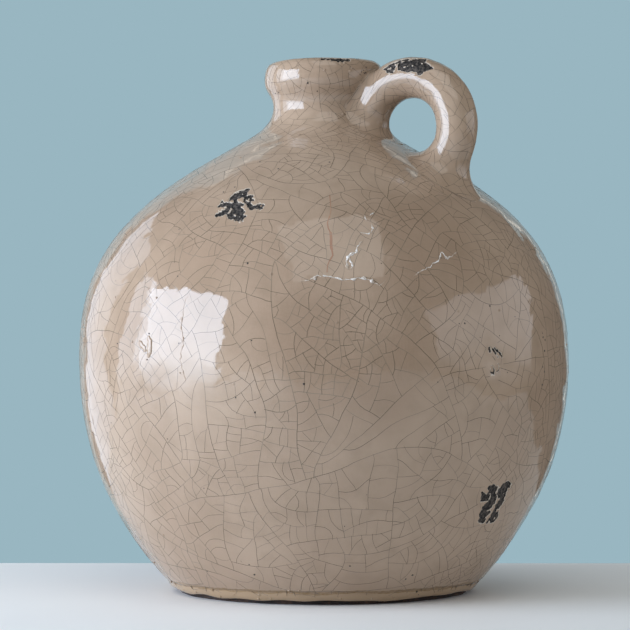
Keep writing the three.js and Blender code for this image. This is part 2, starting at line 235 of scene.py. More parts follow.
# Chips where the glaze flaked off: angle about the axis in degrees, arc length up the outline, how far the flakes lean
# over and how much taller than wide they are, then strokes of a flaked patch as (round, up, half width) in mm from
# there, and islands of glaze left standing inside it.
CHIPS = {
    "shoulder": (-87.2, 281.4, 0.35, 1.45, [
        [(-5.1, -2.1, 1.0), (-2.1, -0.8, 2.0), (1.6, 0.8, 2.1), (4.8, 2.9, 1.2), (6.4, 4.1, 0.4)],
        [(-3.6, -2.9, 0.8), (-1.8, -4.0, 0.3)],
        [(4.5, 1.0, 0.8), (4.0, -2.9, 0.6), (4.0, -4.8, 0.5)],
        [(5.0, -2.1, 1.0), (7.6, -2.3, 2.2)],
        [(4.9, -4.6, 0.6), (6.6, -6.6, 1.5), (7.6, -8.1, 1.5), (8.9, -7.8, 0.7)],
        [(8.9, -8.1, 0.3), (11.2, -8.5, 1.0), (12.9, -8.0, 1.8), (15.0, -6.9, 0.5)],
        [(-11.5, -4.5, 0.6), (-10.5, -5.0, 0.3)],
        [(-13.8, -7.6, 0.2), (-11.5, -6.6, 1.0), (-8.8, -6.5, 1.5), (-5.5, -6.8, 1.5)],
        [(-14.0, -12.6, 0.9), (-10.9, -11.5, 1.2), (-8.1, -10.6, 1.3), (-6.9, -8.5, 1.3)],
        [(-5.8, -6.9, 1.5), (-1.6, -7.3, 1.8), (1.7, -6.7, 1.0), (2.8, -6.3, 0.3)],
        [(-1.6, -8.9, 2.2), (1.0, -10.8, 2.1), (3.0, -11.1, 0.6)],
        [(-5.6, -13.5, 1.6), (-2.2, -11.8, 2.5), (0.6, -11.8, 1.9)],
        [(-2.6, -14.0, 1.8), (0.7, -14.2, 1.8), (2.8, -14.0, 0.4)],
        [(-1.2, -15.4, 1.2), (-0.7, -16.5, 0.4)],
    ], [(-8.7, -8.3, 1.2), (6.4, -3.2, 0.6), (8.9, -2.8, 0.4),
        (-2.8, -12.9, 0.5), (2.0, 0.5, 0.6), (0.0, -14.2, 0.4)]),
    "low_right": (-9.0, 82.5, 0.0, 1.0, [
        [(3.9, 2.7, 1.8), (-0.1, 1.6, 3.9), (-2.8, -0.6, 3.8), (-3.0, -3.6, 2.0)],
        [(1.3, -4.5, 2.1), (1.2, -7.9, 3.1), (-0.1, -10.9, 2.8), (-1.3, -13.7, 1.8), (-1.7, -16.6, 2.2),
         (1.2, -19.6, 4.0), (0.7, -22.5, 1.5)],
        [(-2.2, -19.1, 1.5), (-4.3, -22.5, 1.1)],
        [(-15.3, 2.1, 1.4), (-12.3, 1.5, 2.5), (-10.0, 1.8, 1.4)],
        [(-11.5, 0.8, 2.1), (-9.7, -2.6, 2.0), (-8.4, -6.1, 3.2), (-8.9, -8.9, 3.4), (-10.2, -10.7, 2.5),
         (-12.8, -12.4, 3.5), (-13.7, -14.9, 3.0), (-13.1, -17.5, 2.0), (-12.2, -19.8, 2.8), (-9.3, -21.3, 1.8)],
        [(-19.9, -2.3, 1.4), (-17.6, -4.8, 2.6), (-14.2, -4.6, 1.6), (-14.6, -1.8, 1.1), (-14.0, -0.3, 1.1)],
        [(-14.1, -20.5, 1.2), (-12.5, -20.1, 2.0)],
        [(-9.2, -16.4, 1.9), (-6.9, -15.6, 1.1)],
    ], [(2.2, -20.4, 0.9), (-8.5, -14.9, 0.6)]),
    "girth": (-18.6, 169.1, 0.0, 1.0, [
        [(-5.6, 3.4, 0.6), (-5.2, 2.4, 0.9)],
        [(-3.2, 3.4, 0.0), (0.0, 0.4, 0.0), (1.4, -1.4, 0.1)],
        [(-1.2, 3.6, 0.0), (3.6, 0.6, 0.4), (5.2, -1.8, 0.3)],
        [(-2.8, -10.2, 1.4), (-3.1, -8.6, 1.2)],
        [(1.0, -9.2, 1.0), (1.1, -7.4, 0.8)],
        [(-2.5, -13.6, 0.6), (-2.5, -13.2, 0.6)],
    ], []),
    "rim": (-47.7, 416.7, 0.0, 1.0, [
        [(-8.2, 0.4, 0.9), (-2.1, 0.5, 0.9)],
        [(-1.7, 0.0, 1.5), (4.0, -0.1, 1.9), (4.2, -0.8, 1.2)],
        [(7.6, 0.0, 1.3), (8.6, 0.0, 1.3)],
        [(16.1, 2.2, 1.0), (18.0, 2.4, 1.0)],
    ], []),
}


def strokes_field(across, along, strokes, islands):
    """How far inside a flaked patch a point lies, in mm, and negative outside: the best of its strokes, each a line
    between two points with a half width that runs from one to the other, less the islands left in it."""
    field = np.full(np.broadcast(across, along).shape, -4.0)
    for stroke in strokes:
        for (x0, y0, r0), (x1, y1, r1) in zip(stroke, stroke[1:]):
            reach = (across - x0) * (x1 - x0) + (along - y0) * (y1 - y0)
            share = np.clip(reach / ((x1 - x0) ** 2 + (y1 - y0) ** 2), 0, 1)
            gap = np.hypot(across - x0 - share * (x1 - x0), along - y0 - share * (y1 - y0))
            field = np.maximum(field, r0 + share * (r1 - r0) - gap)
    for x, y, r in islands:
        field = np.minimum(field, np.hypot(across - x, along - y) - r)
    return field


def ragged(points, field):
    """A chip's field with the broken edge of glaze: waves of 4 and 1.8 mm."""
    return np.clip(field + 0.35 + 0.25 * waves(points, 4, 21) + 0.2 * waves(points, 1.8, 22), UNBROKEN, 3)


def even_body(angle, along, lift=0.0):
    """A point of the even outline at an angle and arc length, lifted along the outline's normal."""
    radius = np.interp(along, ALONG, RADIUS) + lift * np.interp(along, ALONG, SLOPE_Z)
    height = np.interp(along, ALONG, HEIGHT) - lift * np.interp(along, ALONG, SLOPE_R)
    radius, height, angle = np.broadcast_arrays(radius, height, angle)
    return np.stack([radius * np.cos(angle), radius * np.sin(angle), height], -1)


def body_chips(angle, along):
    """The chip field all over the body, in mm."""
    field = np.full(np.broadcast(angle, along).shape, -4.0)
    for degrees, centre, lean, tall, strokes, islands in CHIPS.values():
        turn = (angle - math.radians(degrees) + np.pi) % (2 * np.pi) - np.pi
        across = turn * np.interp(centre, ALONG, RADIUS) + lean * (along - centre)
        field = np.maximum(field, strokes_field(across, (along - centre) / tall, strokes, islands))
    return ragged(even_body(angle, along), field)


def smooth_step(value, low, high):
    """0 below low, 1 above high, and the S-curve 3t2 - 2t3 between."""
    t = np.clip((value - low) / (high - low), 0, 1)
    return t * t * (3 - 2 * t)


def sunk_in(field):
    """How far the skin drops inside a chip, through the glaze to the engobe, with a low burr round the break."""
    return -CHIP_DEPTH * smooth_step(field, -0.2, 0.45) + BURR * np.exp(-(((field + 0.55) / 0.45) ** 2))


def glazed_body(angle, along, chips=None):
    """A point of the glaze: the even outline, moved in and out by long and short waves, rolled to a bead at its low
    edge that hangs over the foot ring, with a thin line drawn above it, and sunk to the engobe inside a chip."""
    even = even_body(angle, along)
    edge = smooth_step(along, 0, 9)
    uneven = 0.28 * waves(even, 70, 11) + 0.045 * waves(even, 19, 12) + 0.012 * waves(even, 9, 13)
    bead = 0.55 * np.exp(-(((along - 2.6) / 1.9) ** 2)) - 0.8 * np.clip(1 - along / 1.1, 0, 1) ** 2
    line = -0.35 * np.exp(-(((along - 6.4 - 0.5 * waves(even, 30, 14)) / 0.8) ** 2))
    field = body_chips(angle, along) if chips is None else chips
    points = even_body(angle, along, uneven * edge + bead + line + sunk_in(field))
    points[..., 2] -= (1.4 + 0.5 * waves(even, 28, 15)) * np.clip(1 - along / 6, 0, 1) ** 2
    return points


def crowded(low, high, spacing, crowds):
    """Grid lines from low to high at a spacing, closer together inside crowds of (middle, half width, spacing)."""
    fine = np.linspace(low, high, 40000)
    density = np.full_like(fine, 1 / spacing)
    for middle, half, close in crowds:
        inside = smooth_step(half * 1.2 - np.abs(fine - middle), 0, half * 0.2)
        density = np.maximum(density, inside / close)
    count = np.append(0, np.cumsum((density[1:] + density[:-1]) / 2 * np.diff(fine)))
    return np.interp(np.linspace(0, count[-1], int(count[-1]) + 1), count, fine)


def split_grid(alongs, angles, inner, chipped, parts):
    """A closed skin's grid: rows along the outside, then rows back along the inside. Outside cells within patches of
    (angle, half, along, half) are split, parts by parts, and the faces beside them take in the split edge's points.
    Gives the points as (angle, along), the faces, and the UV at each face corner."""
    rows, columns = len(alongs), len(angles)
    total = rows + inner
    number = np.arange((total + 1) * (columns + 1)).reshape(total + 1, columns + 1)
    real = np.arange(total + 1)[:, None] % total * columns + np.arange(columns + 1) % columns
    places, shares = [np.stack(np.meshgrid(angles, alongs), -1).reshape(-1, 2)], []
    whole = np.ones((total, columns), bool)
    faces, first = [], number.size
    for angle, angle_half, along, along_half in chipped:
        low, high = np.searchsorted(alongs, (along - along_half, along + along_half))
        left, right = np.searchsorted(angles, (angle - angle_half, angle + angle_half))
        row = low + np.arange((high - low) * parts + 1) / parts
        column = left + np.arange((right - left) * parts + 1) / parts
        added = (row % 1 > 0)[:, None] | (column % 1 > 0)
        split = np.empty(added.shape, int)
        split[~added] = number[low : high + 1, left : right + 1].ravel()
        split[added] = first + np.arange(added.sum())
        first += added.sum()
        spot = np.stack(np.meshgrid(column, row), -1)[added]
        shares.append(spot / (columns, total))
        places.append(np.stack([
            np.interp(spot[:, 0], np.arange(columns), angles), np.interp(spot[:, 1], np.arange(rows), alongs)
        ], -1))
        faces += np.stack([split[:-1, :-1], split[:-1, 1:], split[1:, 1:], split[1:, :-1]], -1).reshape(-1, 4).tolist()
        for j in range(left, right):
            edge = slice((j - left) * parts, (j - left + 1) * parts + 1)
            faces.append([number[low - 1, j], number[low - 1, j + 1], *split[0, edge][::-1]])
            faces.append([*split[-1, edge], number[high + 1, j + 1], number[high + 1, j]])
        for i in range(low, high):
            edge = slice((i - low) * parts, (i - low + 1) * parts + 1)
            faces.append([number[i, left - 1], *split[edge, 0], number[i + 1, left - 1]])
            faces.append([number[i, right + 1], number[i + 1, right + 1], *split[edge, -1][::-1]])
        whole[low - 1 : high + 1, left:right] = False
        whole[low:high, left - 1 : right + 1] = False
    quads = np.stack([number[:-1, :-1], number[:-1, 1:], number[1:, 1:], number[1:, :-1]], -1)
    faces += quads[whole].tolist()
    uv = np.stack(np.meshgrid(np.arange(columns + 1) / columns, np.arange(total + 1) / total), -1).reshape(-1, 2)
    uv = np.vstack([uv, *shares])
    real = np.append(real.ravel(), total * columns + np.arange(len(uv) - number.size))
    corners = np.concatenate(faces)
    return np.vstack(places), [real[face].tolist() for face in faces], uv[corners]


# The skin's grid is closer at the neck, rim and bead, and split finer still in a patch round each chip of the belly.
SKIN_SPACING, INNER_SPACING, SKIN_COLUMNS, CHIP_SPLIT = 2.7, 40, 340, 5
NECK_CROWD, RIM_CROWD, BEAD_CROWD, INNER_CROWD = (385, 38, 1.7), (418.0, 3.5, 0.7), (3.5, 5, 0.6), (388, 42, 5)
alongs = crowded(0, ALONG[-1], SKIN_SPACING, [NECK_CROWD, RIM_CROWD, BEAD_CROWD])
angles = np.linspace(-np.pi, np.pi, SKIN_COLUMNS, endpoint=False)
inner = crowded(0, ALONG[-1], INNER_SPACING, [INNER_CROWD])[::-1]
CHIPPED = [
    (math.radians(-85.2), 0.15, 271.5, 17), (math.radians(-12.2), 0.11, 72.5, 15), (math.radians(-19.5), 0.05, 165, 8.5)
]
skin_places, skin_faces, skin_uv = split_grid(alongs, angles, len(inner), CHIPPED, CHIP_SPLIT)
skin_angle, skin_along = skin_places.T
field = body_chips(skin_angle, skin_along)
outside = glazed_body(skin_angle, skin_along, field)
inside = even_body(angles, inner[:, None], -GLAZE).reshape(-1, 3)
even_count = len(alongs) * len(angles)
skin_points = np.vstack([outside[:even_count], inside, outside[even_count:]])
on_outside = np.r_[:even_count, even_count + len(inside) : len(skin_points)]
glaze_body = mesh_piece("glaze_on_body", skin_points, skin_faces, skin_uv)

# Crackle glaze over engobe: warm taupe glass with soft clouding, clear gloss, an amber line where it runs thin above
# the foot bead, and in the chips the black matt engobe inside a thin pale line of broken glaze, painted paler also as
# a painted highlight along the chip's broken edge.
glaze, shader = new_material("crackle_glaze_over_engobe")
place = node(glaze, "TexCoord", {}, "Object")
cloud = node(glaze, "TexNoise", {"Vector": place, "Scale": 1 / (85 * MM), "Detail": 2.0})
mottle = node(glaze, "TexNoise", {"Vector": place, "Scale": 1 / (14 * MM), "Detail": 4.0})
fine = node(glaze, "TexNoise", {"Vector": place, "Scale": 1 / (2.2 * MM), "Detail": 3.0})
clouding = node(glaze, "MapRange", {"Value": cloud, "From Min": 0.35, "From Max": 0.65})
tone = node(glaze, "Mix", {0: clouding, 6: linear("#a08873"), 7: linear("#af9883")}, 2, data_type="RGBA")
spots = node(glaze, "MapRange", {"Value": mottle, "From Min": 0.45, "From Max": 0.75, "To Max": 0.4})
tone = node(glaze, "Mix", {0: spots, 6: tone, 7: linear("#95806b")}, 2, data_type="RGBA")
level = node(glaze, "SeparateXYZ", {0: place}, "Z")
wander = node(glaze, "Math", {0: mottle, 1: 4 * MM, 2: level}, operation="MULTIPLY_ADD")
bead = node(glaze, "MapRange", {"Value": wander, "From Min": 10.6 * MM, "From Max": 9.4 * MM, "To Max": 0.5})
tone = node(glaze, "Mix", {0: bead, 6: tone, 7: linear("#a58965")}, 2, data_type="RGBA")
on_line = node(glaze, "Math", {0: wander, 1: 10.3 * MM, 2: 1.0 * MM}, operation="COMPARE")
amber = node(glaze, "Math", {0: on_line, 1: fine}, operation="MULTIPLY", use_clamp=True)
tone = node(glaze, "Mix", {0: amber, 6: tone, 7: linear("#7d6036")}, 2, data_type="RGBA")
chip = node(glaze, "Attribute", {}, "Fac", attribute_name="chip")
broken = node(glaze, "Math", {0: fine, 1: 0.9, 2: chip}, operation="MULTIPLY_ADD")
# The pale line round a chip is broken glaze, and in part a painted highlight where light catches the chip's edge.
pale_edge_and_highlight = node(glaze, "MapRange", {"Value": broken, "From Min": 0.05, "From Max": 0.3, "To Max": 0.75})
tone = node(glaze, "Mix", {0: pale_edge_and_highlight, 6: tone, 7: linear("#cfc3b4")}, 2, data_type="RGBA")
bare = node(glaze, "MapRange", {"Value": broken, "From Min": 0.4, "From Max": 0.6})
sandy = node(glaze, "TexNoise", {"Vector": place, "Scale": 1 / (1.6 * MM), "Detail": 2.0})
specks = node(glaze, "MapRange", {"Value": sandy, "From Min": 0.42, "From Max": 0.7})
engobe = node(glaze, "Mix", {0: specks, 6: linear("#171413"), 7: linear("#5c534c")}, 2, data_type="RGBA")
tone = node(glaze, "Mix", {0: bare, 6: tone, 7: engobe}, 2, data_type="RGBA")
gloss = node(glaze, "MapRange", {"Value": mottle, "To Min": 0.03, "To Max": 0.08})
rough = node(glaze, "Mix", {0: bare, 2: gloss, 3: 0.85}, data_type="FLOAT")
peel = node(glaze, "TexNoise", {"Vector": place, "Scale": 1 / (5 * MM), "Detail": 2.0})
skin_normal = node(glaze, "NewGeometry", {}, "Normal")
tilt = node(glaze, "Attribute", {}, "Vector", attribute_name="plate_tilt")
tilted = node(glaze, "VectorMath", {0: skin_normal, 1: tilt}, operation="ADD")
tilted = node(glaze, "VectorMath", {0: tilted}, operation="NORMALIZE")
bump = node(glaze, "Bump", {"Height": peel, "Strength": 0.5, "Distance": 0.06 * MM, "Normal": tilted})
plug(glaze, shader, {"Base Color": tone, "Roughness": rough, "IOR": 1.49, "Normal": bump})


def mark(piece, name, values, rest):
    """Keeps a value at each of a piece's points: those given for the first ones, and one value for the rest."""
    every = np.full(len(piece.data.vertices), rest, np.float32)
    every[: values.size] = values.ravel()
    piece.data.attributes.new(name, "FLOAT", "POINT").data.foreach_set("value", every)


def coat(piece, chips=np.empty(0)):
    """Glazes a piece, with the chip field at its first points and unbroken glaze at the rest."""
    mark(piece, "chip", chips, UNBROKEN)
    dress(piece, glaze)


skin_field = np.full(len(skin_points), UNBROKEN)
skin_field[on_outside] = field
coat(glaze_body, skin_field)
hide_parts("glaze_body")


# Craze lines: the net of fine cracks that the glaze drew as it shrank on cooling, rubbed dark with stain. Long first
# cracks are split by shorter ones that run into them square, so most meetings are T-shaped.
CELL, STEP, SIGHT = 0.8, 0.75, 4.5
PROUD, CRACK_DEPTH, NEAR_CHIP, CRACKS_FROM = 0.05, 0.5, -0.6, 3.2
PLATE_SLOPE, PLATE_STEPS, CRACK_STEPS = 0.014, 126, 4
ROUND_STEP, ALONG_STEP = 0.0005, 0.05
CRAZE_LEVELS = ((34, 0.34), (23, 0.33), (16, 0.32), (11, 0.31), (7.6, 0.30), (5.4, 0.28), (3.9, 0.25))


def craze_lines(radius, levels, seed, close_from, spacing=1.0):
    """Cracks on a skin turned about an axis, as (angles, distances, width), and the net's cells that they take. The
    skin's radius is given at each millimetre along it. A crack starts where none lies within the level's clearance
    times the spacing, aims at the nearest one, and runs both ways on a gently bending path until it meets another.
    Its points are 4 mm apart, and closer from a distance on."""
    random = np.random.default_rng(seed)
    length = len(radius) - 1
    columns = int(2 * np.pi * radius.max() / CELL)
    column = 2 * np.pi / columns
    taken = np.zeros((int(length / CELL) + 2, columns), bool)
    spread = np.gradient(radius) / radius
    places = np.cumsum(radius) / radius.sum()
    lines = []

    def nearest(angle, along, reach):
        low = max(int((along - reach) / CELL), 0)
        here = radius[int(along)] * column
        half = min(int(reach / here), columns // 2 - 1)
        around = np.arange(int(angle / column) - half, int(angle / column) + half + 1)
        rows, offsets = np.nonzero(taken[low : int((along + reach) / CELL) + 1].take(around, axis=1, mode="wrap"))
        if not len(rows):
            return None
        up, level = (rows + low + 0.5) * CELL - along, (offsets - half) * here
        distance = up * up + level * level
        closest = distance.argmin()
        return math.sqrt(distance[closest]), math.atan2(up[closest], level[closest])

    def run(angle, along, heading, bend, limit, sight):
        path = []
        for step, wobble in enumerate(random.normal(0, 0.04, limit)):
            here = int(along)
            heading += STEP * (bend + spread[here] * math.cos(heading)) + wobble
            ahead = nearest(angle, along, sight) if step % 2 else None
            if ahead:
                turn = (ahead[1] - heading + math.pi) % (2 * math.pi) - math.pi
                heading += 0.2 * turn if abs(turn) < 1.2 else 0
            angle += STEP * math.cos(heading) / radius[here]
            along += STEP * math.sin(heading)
            if not 0 < along < length:
                break
            path.append((angle, along))
            if taken[int(along / CELL), int(angle / column) % columns]:
                path.append((angle + 0.4 * math.cos(heading) / radius[here], along + 0.4 * math.sin(heading)))
                break
        return path

    for clearance, width in levels:
        tries = int(5 * 2 * np.pi * radius.sum() / clearance**2)
        starts = np.interp(random.uniform(size=tries), places, np.arange(length + 1.0)).clip(1, length - 1)
        start_angles = random.uniform(0, 2 * np.pi, tries)
        wide = np.exp(0.3 * waves(even_body(start_angles, starts), 55, seed))
        wide *= spacing * (1 - 0.35 * smooth_step(starts, 325, 360))
        near = clearance * random.uniform(0.75, 1.3, tries) * wide
        for angle, along, gap in zip(start_angles, starts, near):
            heading = random.uniform(0, 2 * np.pi)
            beside = nearest(angle, along, 2.2 * gap)
            if beside:
                if beside[0] < gap:
                    continue
                heading = beside[1] + random.normal(0, 0.2)
            limit = int(9 * clearance / STEP)
            bend = random.normal(0, 0.2) / clearance
            sight = min(0.6 * clearance, SIGHT)
            ahead = run(angle, along, heading, bend, limit, sight)
            behind = run(angle, along, heading + np.pi, -bend, limit, sight)
            path = np.array([*behind[::-1], (angle, along), *ahead])
            even = np.linspace(0, len(path) - 1, 3 * len(path))
            path_angle = np.interp(even, np.arange(len(path)), path[:, 0])
            path_along = np.interp(even, np.arange(len(path)), path[:, 1])
            rows = (path_along / CELL).astype(int).clip(0, len(taken) - 1)
            for shift in (-0.25, 0, 0.25):
                turned = path_angle + shift * CELL / radius[path_along.astype(int).clip(0, length)]
                taken[rows, (turned / column).astype(int) % columns] = True
            number = np.arange(len(path))
            keep = (number % np.where(path[:, 1] > close_from, 2, 5) == 0) | (number == len(path) - 1)
            thin = 1 - 0.25 * float(smooth_step(path[:, 1].mean(), close_from, close_from + 10))
            lines.append((path[keep, 0], path[keep, 1], thin * width * random.uniform(0.8, 1.1)))
    return lines, taken


def tilted_plates(taken, slope, seed):
    """A slope of its own for each plate of glaze between cracks, round and along, as pictures of the net's size. The
    highest of random numbers spreads over each plate to name it, and at last over the cracks too."""
    random = np.random.default_rng(seed)
    name = random.permutation(taken.size).reshape(taken.shape)
    name[taken] = -1
    for step in range(PLATE_STEPS + CRACK_STEPS):
        wide = np.maximum(np.maximum(name, np.roll(name, 1, 1)), np.roll(name, -1, 1))
        wide[1:] = np.maximum(wide[1:], name[:-1])
        wide[:-1] = np.maximum(wide[:-1], name[1:])
        if step < PLATE_STEPS:
            wide[taken] = -1
        name = wide
    return [random.normal(0, slope, taken.size)[name] for _ in range(2)]


def stained_cracks(name, lines, skin, hidden):
    """Each line as a thin wedge of stain let into a skin: two edges just proud of the skin and one below it. U holds
    the stain's tone, a slow wave along the crack, and V runs across it."""
    lines = [line for line in lines if len(line[0]) > 1]
    angle, along = np.concatenate([line[0] for line in lines]), np.concatenate([line[1] for line in lines])
    count = np.array([len(line[0]) for line in lines])
    width = np.repeat([line[2] for line in lines], count)
    first = np.zeros(len(angle), bool)
    first[np.append(0, np.cumsum(count)[:-1])] = True
    last = np.roll(first, -1)
    points, normals = skin(angle, along)
    ahead, behind = np.roll(points, -1, axis=0), np.roll(points, 1, axis=0)
    tangent = np.where(last[:, None], points, ahead) - np.where(first[:, None], points, behind)
    side = unit(np.cross(normals, tangent)) * width[:, None] / 2
    proud = points + PROUD * normals
    vertices = np.stack([proud + side, proud - side, points - CRACK_DEPTH * normals], 1)
    shown = ~hidden(angle, along)
    start = np.nonzero(~last & shown & np.roll(shown, -1))[0]
    opens = start[first[start] | ~np.isin(start - 1, start)]
    closes = start[last[start + 1] | ~np.isin(start + 1, start)] + 1
    left, right, bottom = 3 * start, 3 * start + 1, 3 * start + 2
    quads = np.concatenate([
        np.stack([right, right + 3, left + 3, left], -1),
        np.stack([right, bottom, bottom + 3, right + 3], -1),
        np.stack([left, left + 3, bottom + 3, bottom], -1),
    ])
    ends = np.concatenate([
        np.stack([3 * opens, 3 * opens + 2, 3 * opens + 1], -1),
        np.stack([3 * closes + 1, 3 * closes + 2, 3 * closes], -1),
    ])
    used, numbers = np.unique(np.concatenate([quads.ravel(), ends.ravel()]), return_inverse=True)
    faces = numbers[: quads.size].reshape(-1, 4).tolist() + numbers[quads.size :].reshape(-1, 3).tolist()
    phase = np.repeat(np.random.default_rng(5).uniform(0, 2 * np.pi, len(lines)), count)
    tone = 0.5 + 0.45 * np.sin(phase + np.arange(len(angle)) * 0.35)
    uv = np.stack([np.repeat(tone, 3), np.tile([0.02, 0.98, 0.5], len(angle))], -1)[used]
    return mesh_piece(name, vertices.reshape(-1, 3)[used], faces, uv[numbers], smooth=False)


def body_skin(angle, along):
    """Points of the body's glaze, with normals from small steps round and along it."""
    points = glazed_body(angle, along)
    round_step = glazed_body(angle + ROUND_STEP, along) - points
    along_step = glazed_body(angle, along + ALONG_STEP) - points
    return points, unit(np.cross(round_step, along_step))


def uncracked(angle, along):
    """Whether a point of the body lies in a chip or on the bead, where no crack shows."""
    return (body_chips(angle, along) > NEAR_CHIP) | (along < CRACKS_FROM)


# Stain in the cracks: grey brown dirt under clear gloss, darker and paler by turns along each crack.
crack_stain, shader = new_material("stain_in_craze_lines")
along_crack = node(crack_stain, "SeparateXYZ", {0: node(crack_stain, "UVMap", {}, uv_map="OFBake")})
tone = node(crack_stain, "Mix", {0: along_crack, 6: linear("#6a5d4e"), 7: linear("#8f7f6e")}, 2, data_type="RGBA")
plug(crack_stain, shader, {"Base Color": tone, "Roughness": 0.06, "IOR": 1.52})

radius_by_mm = np.interp(np.arange(int(ALONG[-1]) + 1), ALONG, RADIUS)
body_lines, body_net = craze_lines(radius_by_mm, CRAZE_LEVELS, seed=7, close_from=330, spacing=0.95)
body_cracks = stained_cracks("craze_on_body", body_lines, body_skin, uncracked)
dress(body_cracks, crack_stain)

# Each plate of glaze between cracks lies at its own slight slope, so that reflections break from plate to plate.
net_row = (skin_along / CELL).astype(int)
net_column = (skin_angle / (2 * np.pi) * body_net.shape[1]).astype(int) % body_net.shape[1]
round_slope, along_slope = (slopes[net_row, net_column] for slopes in tilted_plates(body_net, PLATE_SLOPE, seed=8))
level = np.stack([-np.sin(skin_angle), np.cos(skin_angle), 0 * skin_angle], -1)
outward, upward = np.interp(skin_along, ALONG, SLOPE_R), np.interp(skin_along, ALONG, SLOPE_Z)
upward = np.stack([outward * np.cos(skin_angle), outward * np.sin(skin_angle), upward], -1)
tilts = np.zeros((len(skin_points), 3))
tilts[on_outside] = round_slope[:, None] * level + along_slope[:, None] * upward
plate_tilt = glaze_body.data.attributes.new("plate_tilt", "FLOAT_VECTOR", "POINT")
plate_tilt.data.foreach_set("vector", tilts.astype(np.float32).ravel())


# Iron streak: a thin run of rust brown on the front of the shoulder. Iron bled out of the clay through one crack and
# ran down in the molten glaze, so the streak is glass too, let into the skin as the cracks are.
STREAK = (
    ([-58.1, -57.9, -58.3], [280.4, 266.1, 260.9], 0.45),
    ([-58.3, -59.0, -58.8, -58.2], [260.9, 255.4, 251.3, 247.4], 0.8),
    ([-58.2, -58.1, -58.2, -58.0], [248.0, 243.0, 238.2, 235.0], 1.6),
    ([-58.0, -57.8, -58.6], [235.6, 231.2, 227.2], 1.0),
    ([-58.6, -59.1, -59.2], [227.6, 223.9, 219.6], 0.6),
)


def finer(degrees, along, spacing):
    """A path given by a few angles and arc lengths, with points added to a spacing in mm."""
    angle, along = np.radians(degrees), np.array(along, float)
    round_step = np.diff(angle) * np.interp(along[1:], ALONG, RADIUS)
    length = np.append(0, np.cumsum(np.hypot(round_step, np.diff(along))))
    even = np.linspace(0, length[-1], max(int(length[-1] / spacing), 2) + 1)
    return np.interp(even, length, angle), np.interp(even, length, along)


# Iron stain in glaze: rust brown, paler where it thins, under the same gloss.
iron, shader = new_material("iron_stain_in_glaze")
along_streak = node(iron, "SeparateXYZ", {0: node(iron, "UVMap", {}, uv_map="OFBake")})
tone = node(iron, "Mix", {0: along_streak, 6: linear("#99715a"), 7: linear("#ad8a72")}, 2, data_type="RGBA")
plug(iron, shader, {"Base Color": tone, "Roughness": 0.06, "IOR": 1.52})

streak_lines = [(*finer(degrees, along, 2.0), width) for degrees, along, width in STREAK]
streak = stained_cracks("iron_streak", streak_lines, body_skin, lambda angle, along: np.zeros(len(angle), bool))
dress(streak, iron)


# Glaze wrinkles: thin ridges and blisters of glaze that crawled and froze as it cooled. They catch the light in
# white glints on the front of the shoulder, and on the thin ridges those glints are painted into the colour as well.
# One pair of blisters stands on the left of the belly.
WRINKLES = (
    ([-65.9, -64.2, -62.7, -61.4, -60.1, -58.2, -56.6, -54.9, -53.2, -51.9, -50.0, -48.5, -47.6, -45.8],
     [213.5, 214.0, 215.6, 216.9, 217.4, 216.6, 215.6, 214.8, 214.8, 215.9, 215.1, 212.5, 211.2, 214.1], 0.42),
    ([-50.1, -51.0, -51.9, -52.2, -53.8, -54.6, -54.4, -54.3],
     [241.3, 239.5, 235.9, 233.5, 231.2, 229.2, 225, 221.2], 0.6),
    ([-54.2, -53.6, -53.1, -53.9], [230.1, 226.7, 223.4, 221.5], 0.5),
    ([-49.0, -48.7], [261.4, 256.9], 0.36),
    ([-45.7, -47.4], [264.1, 260.8], 0.3),
    ([-47.2, -47.4, -48.6, -49.8, -51.0], [255.5, 249.5, 246.3, 246.9, 248.2], 0.32),
    ([-39.1, -37.8, -36.1, -34.3, -32.5, -31.1, -30.2, -29.6, -29.0, -27.5, -25.2],
     [216.8, 219.2, 221.6, 223.7, 226.6, 230.0, 233.4, 230.9, 228.8, 231.4, 234.9], 0.34),
    ([-105.1, -104.1, -102.7], [177.2, 173.7, 170.6], 1.4),
    ([-102.1, -101.7, -101.8, -102.1], [180.4, 175.1, 170.2, 166.7], 1.7),
    ([-92.1, -92.9, -92.7, -93.1, -92.6, -92.2, -92.9, -92.7, -91.8, -91.4],
     [204.8, 199.8, 193.4, 187.8, 182.2, 175.3, 169.7, 162.1, 156.5, 151.7], 0.27),
)


def ridge(degrees, along, size, seed):
    """Rings along a path on the body: half-sunk ellipses, lower than wide, that taper to the ends. A thin ridge is
    steeper than a blister, and swells and shrinks."""
    angle, along = finer(degrees, along, 0.6)
    points, normals = body_skin(angle, along)
    side = np.cross(normals, unit(np.gradient(points, axis=0)))
    share = np.linspace(0, 1, len(angle))
    taper = np.sqrt(np.clip(4 * share * (1 - share), 0.02, 0.8) / 0.8)
    thin = size < 1
    swell = taper * (np.exp(0.5 * waves(points, 3.5, seed) - 0.1) if thin else 1)
    points = points + side * (0.25 * waves(points, 3, seed + 1))[:, None]
    turn = np.linspace(0, 2 * np.pi, 10, endpoint=False)[None, :, None]
    reach = (1.2 * size * swell)[:, None, None]
    steep = 0.55 if thin else 0.28
    return points[:, None] + reach * (np.cos(turn) * side[:, None] + steep * np.sin(turn) * normals[:, None])


THIN_RIDGES = 7
ridges = [ridge(*path, seed=60 + 2 * i) for i, path in enumerate(WRINKLES)]
wrinkles = grid_piece("glaze_wrinkles", ridges[THIN_RIDGES:], closed_rows=False)
coat(wrinkles)
